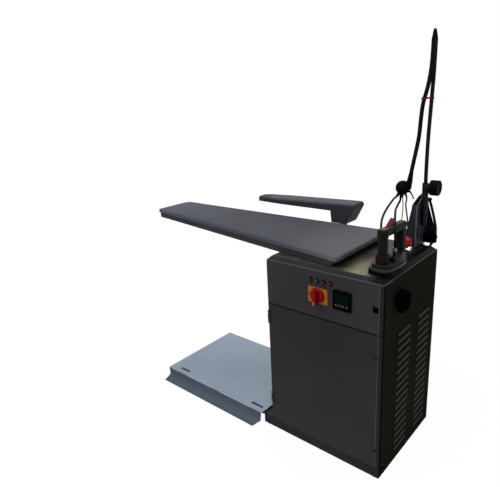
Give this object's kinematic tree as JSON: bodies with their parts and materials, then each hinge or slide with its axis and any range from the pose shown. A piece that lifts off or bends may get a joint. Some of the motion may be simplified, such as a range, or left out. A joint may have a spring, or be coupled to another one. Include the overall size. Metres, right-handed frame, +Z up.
{
  "type": "vacuum ironing table",
  "caption": "Vacuum ironing table with a steam cabinet, tapered board, sleeve arm, foot platform with pedal, and an iron on its rest beside a hose boom.",
  "frame": {"origin": "centre of the bounding box of everything but the cords, on the floor plane", "axes": "+X along the board from its narrow tip to the cabinet, +Y from the operator's side to the back, +Z up"},
  "size_m": [1.44, 0.5954, 1.591],
  "materials": {
    "frame_paint": "satin",
    "rubber_black": "matte",
    "platform_paint": "satin",
    "tread_paint": "satin",
    "plastic_black": "matte",
    "zinc": "satin",
    "cabinet_paint": "satin",
    "steel": "brushed",
    "screw_steel": "polished",
    "lens_red": "gloss",
    "lens_green": "gloss",
    "plate_yellow": "satin",
    "plastic_red": "gloss",
    "brass": "satin",
    "plastic_white": "matte",
    "motor_cast": "matte",
    "aluminium": "satin",
    "pad_foam": "matte",
    "cover_cloth": "matte",
    "arm_cloth": "matte",
    "iron_black": "matte",
    "bracket_paint": "satin",
    "hose_rubber": "matte",
    "cable_rubber": "matte",
    "valve_chrome": "polished"
  },
  "bodies": {
    "stand": {"base_rails": "frame_paint", "foot_pads": "rubber_black", "platform_frame": "frame_paint", "platform_plate": "platform_paint", "pedal_switch": "plastic_black", "floor_pan": "zinc", "corner_posts": "frame_paint", "left_panel": "cabinet_paint", "right_panel": "cabinet_paint", "back_panel": "cabinet_paint", "cable_gland": "plastic_black", "control_panel": "cabinet_paint", "cabinet_top": "cabinet_paint", "door_hinges": "steel", "lamp_bezels": "plastic_black", "red_lenses": "lens_red", "green_lens": "lens_green", "switch_plate": "plate_yellow", "instrument": "plastic_black", "boiler": "steel", "boiler_fittings": "brass", "steam_solenoid": "brass", "water_tank": "plastic_white", "feed_pump": "motor_cast", "fan_housing": "zinc", "fan_motor": "motor_cast", "suction_duct": "zinc", "contactor_box": "plastic_white", "board_pan": "frame_paint", "board_mesh": "zinc", "board_pad": "pad_foam", "board_cover": "cover_cloth", "sleeve_bracket": "frame_paint", "iron_rest": "rubber_black", "boom_bracket": "bracket_paint", "boom_rod": "steel", "splitter_boot": "rubber_black", "boom_hose": "hose_rubber", "iron_hose": "hose_rubber", "iron_cable": "cable_rubber", "service_lines": "hose_rubber", "steam_valve": "valve_chrome", "screws": "screw_steel"},
    "pedal": {"pedal_tread": "tread_paint"},
    "door": {"service_door": "cabinet_paint", "door_screws": "screw_steel"},
    "lock": {"panel_lock": "plastic_black"},
    "main_switch": {"switch_knob": "plastic_red"},
    "side_control": {"side_knob": "plastic_black"},
    "arm": {"sleeve_arm": "frame_paint", "sleeve_pad": "arm_cloth"},
    "fan": {"fan_impeller": "aluminium"},
    "clamp": {"clamp_knob": "plastic_black"},
    "valve": {"valve_lever": "plastic_red"},
    "iron": {"iron_sole": "aluminium", "iron_hood": "iron_black", "iron_handle": "iron_black"},
    "dial": {"iron_dial": "iron_black"},
    "trigger": {"iron_trigger": "plastic_red"}
  },
  "joints": [
    {"name": "pedal_press", "type": "hinge", "parent": "stand", "child": "pedal", "pos_m": [-0.182, -0.2538, 0.055], "axis": [1, 0, 0], "range_deg": [0, 4.5], "stiffness_Nm_per_rad": 8, "springref_deg": -8.59},
    {"name": "door_swing", "type": "hinge", "parent": "stand", "child": "door", "pos_m": [0.19, -0.2411, 0.13], "axis": [0, 0, 1], "range_deg": [-105, 0]},
    {"name": "lock_turn", "type": "hinge", "parent": "stand", "child": "lock", "pos_m": [0.657, -0.2373, 0.692], "axis": [0, 1, 0], "range_deg": [0, 90]},
    {"name": "main_switch_turn", "type": "hinge", "parent": "stand", "child": "main_switch", "pos_m": [0.426, -0.2373, 0.689], "axis": [0, 1, 0], "range_deg": [0, 90]},
    {"name": "side_control_turn", "type": "hinge", "parent": "stand", "child": "side_control", "pos_m": [0.686, -0.1333, 0.7], "axis": [1, 0, 0], "range_deg": [-135, 135]},
    {"name": "arm_swing", "type": "hinge", "parent": "stand", "child": "arm", "pos_m": [0.246, 0.2507, 0.64], "axis": [0, 0, 1], "range_deg": [-60, 90]},
    {"name": "fan_spin", "type": "hinge", "parent": "stand", "child": "fan", "pos_m": [0.336, -0.0023, 0.624], "axis": [0, 0, 1], "continuous": true},
    {"name": "clamp_turn", "type": "hinge", "parent": "stand", "child": "clamp", "pos_m": [0.63817, 0.18361, 1.036], "axis": [1, 0, 0], "range_deg": [0, 180]},
    {"name": "valve_turn", "type": "hinge", "parent": "stand", "child": "valve", "pos_m": [0.611, 0.0607, 0.822], "axis": [0, 0, 1], "range_deg": [0, 90]},
    {"name": "iron_lift", "type": "slide", "parent": "stand", "child": "iron", "axis": [0, 0, 1], "range_m": [0, 0.04], "deforming": ["iron_hose", "iron_cable"]},
    {"name": "dial_turn", "type": "hinge", "parent": "iron", "child": "dial", "pos_m": [0.63984, -0.1641, 0.8364], "axis": [0, 0, 1], "range_deg": [-150, 150]},
    {"name": "trigger_press", "type": "hinge", "parent": "iron", "child": "trigger", "pos_m": [0.64106, -0.13913, 0.951], "axis": [0.9988, -0.0488, 0], "range_deg": [-8, 0], "stiffness_Nm_per_rad": 0.3, "springref_deg": 8.59}
  ]
}
